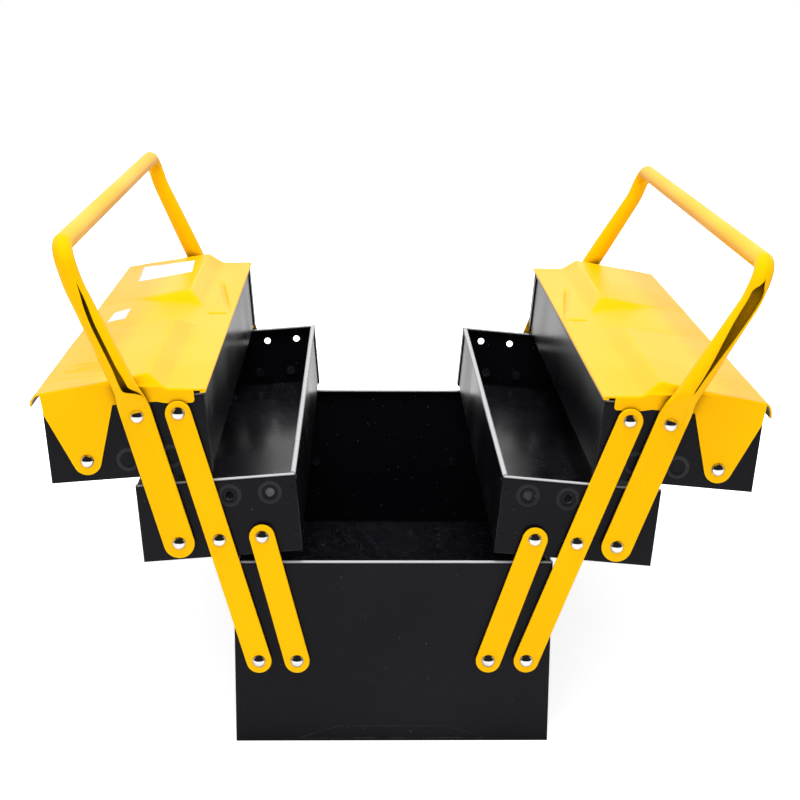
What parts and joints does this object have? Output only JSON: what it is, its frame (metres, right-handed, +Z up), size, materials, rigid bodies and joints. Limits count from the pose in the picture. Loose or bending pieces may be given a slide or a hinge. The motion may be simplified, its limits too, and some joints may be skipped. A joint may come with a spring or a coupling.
{
  "type": "cantilever tool box",
  "caption": "Open steel tool box: trays on folding riveted arms swing out from both sides of a base box, with hinged lids over the upper trays and folding carrying handles",
  "frame": {"origin": "the middle of the base box's flat underside", "axes": "+Z is up, -Y faces the front end in the picture, and +X is to its right, so the boxes' length runs along Y"},
  "size_m": [0.4697, 0.4798, 0.3404],
  "materials": {
    "black_paint": "glossy near-black stove enamel",
    "yellow_paint": "glossy amber yellow enamel",
    "polished_rivet": "bright plated rivets",
    "zinc_washer": "plain zinc plate"
  },
  "bodies": {
    "base": {"base_shell": "black_paint", "base_end_front": "black_paint", "base_end_back": "black_paint", "base_rivets": "polished_rivet", "base_washers": "zinc_washer"},
    "left_long_arms": {"left_long_arm_front": "yellow_paint", "left_long_arm_back": "yellow_paint"},
    "left_short_arms": {"left_short_arm_front": "yellow_paint", "left_short_arm_back": "yellow_paint"},
    "left_middle_tray": {"left_mid_shell": "black_paint", "left_mid_end_front": "black_paint", "left_mid_end_back": "black_paint", "left_mid_rivets": "polished_rivet", "left_mid_washers": "zinc_washer"},
    "left_top_tray": {"left_top_shell": "black_paint", "left_top_end_front": "black_paint", "left_top_end_back": "black_paint", "left_top_rivets": "polished_rivet", "left_top_washers": "zinc_washer"},
    "left_handle": {"left_handle": "yellow_paint"},
    "left_lid": {"left_lid": "yellow_paint"},
    "right_long_arms": {"right_long_arm_front": "yellow_paint", "right_long_arm_back": "yellow_paint"},
    "right_short_arms": {"right_short_arm_front": "yellow_paint", "right_short_arm_back": "yellow_paint"},
    "right_middle_tray": {"right_mid_shell": "black_paint", "right_mid_end_front": "black_paint", "right_mid_end_back": "black_paint", "right_mid_rivets": "polished_rivet", "right_mid_washers": "zinc_washer"},
    "right_top_tray": {"right_top_shell": "black_paint", "right_top_end_front": "black_paint", "right_top_end_back": "black_paint", "right_top_rivets": "polished_rivet", "right_top_washers": "zinc_washer"},
    "right_handle": {"right_handle": "yellow_paint"},
    "right_lid": {"right_lid": "yellow_paint"}
  },
  "joints": [
    {"name": "left_fold", "type": "hinge", "parent": "base", "child": "left_long_arms", "pos_m": [-0.088, 0, 0.059], "axis": [0, -1, 0], "range_deg": [-39.2, 4.8]},
    {"name": "left_short_arm_turn", "type": "hinge", "parent": "base", "child": "left_short_arms", "pos_m": [-0.063, 0, 0.059], "axis": [0, -1, 0], "range_deg": [-38.9, 4.9]},
    {"name": "left_middle_tray_turn", "type": "hinge", "parent": "left_long_arms", "child": "left_middle_tray", "pos_m": [-0.11241, 0, 0.14303], "axis": [0, -1, 0], "range_deg": [-4.4, 34.6]},
    {"name": "left_top_tray_turn", "type": "hinge", "parent": "left_long_arms", "child": "left_top_tray", "pos_m": [-0.13696, 0, 0.22753], "axis": [0, -1, 0], "range_deg": [-4.4, 34.6]},
    {"name": "left_handle_turn", "type": "hinge", "parent": "left_top_tray", "child": "left_handle", "pos_m": [-0.16287, 0, 0.2254], "axis": [0, -1, 0], "range_deg": [-34.6, 4.4]},
    {"name": "left_lid_turn", "type": "hinge", "parent": "left_top_tray", "child": "left_lid", "pos_m": [-0.1956, 0, 0.19527], "axis": [0, -1, 0], "range_deg": [0, 105]},
    {"name": "right_fold", "type": "hinge", "parent": "base", "child": "right_long_arms", "pos_m": [0.088, 0, 0.059], "axis": [0, 1, 0], "range_deg": [-43.7, 0.3]},
    {"name": "right_short_arm_turn", "type": "hinge", "parent": "base", "child": "right_short_arms", "pos_m": [0.063, 0, 0.059], "axis": [0, 1, 0], "range_deg": [-43.4, 0.4]},
    {"name": "right_middle_tray_turn", "type": "hinge", "parent": "right_long_arms", "child": "right_middle_tray", "pos_m": [0.11893, 0, 0.14085], "axis": [0, 1, 0], "range_deg": [-0.4, 38.6]},
    {"name": "right_top_tray_turn", "type": "hinge", "parent": "right_long_arms", "child": "right_top_tray", "pos_m": [0.15004, 0, 0.22317], "axis": [0, 1, 0], "range_deg": [-0.4, 38.6]},
    {"name": "right_handle_turn", "type": "hinge", "parent": "right_top_tray", "child": "right_handle", "pos_m": [0.17593, 0, 0.22079], "axis": [0, 1, 0], "range_deg": [-38.6, 0.4]},
    {"name": "right_lid_turn", "type": "hinge", "parent": "right_top_tray", "child": "right_lid", "pos_m": [0.20836, 0, 0.19035], "axis": [0, 1, 0], "range_deg": [0, 105]}
  ],
  "couplings": [
    {"joint": "left_short_arm_turn", "follows": "left_fold", "ratio": 0.989},
    {"joint": "left_middle_tray_turn", "follows": "left_fold", "ratio": -0.88},
    {"joint": "left_top_tray_turn", "follows": "left_fold", "ratio": -0.88},
    {"joint": "left_handle_turn", "follows": "left_fold", "ratio": 0.88},
    {"joint": "right_short_arm_turn", "follows": "right_fold", "ratio": 0.989},
    {"joint": "right_middle_tray_turn", "follows": "right_fold", "ratio": -0.88},
    {"joint": "right_top_tray_turn", "follows": "right_fold", "ratio": -0.88},
    {"joint": "right_handle_turn", "follows": "right_fold", "ratio": 0.88}
  ]
}
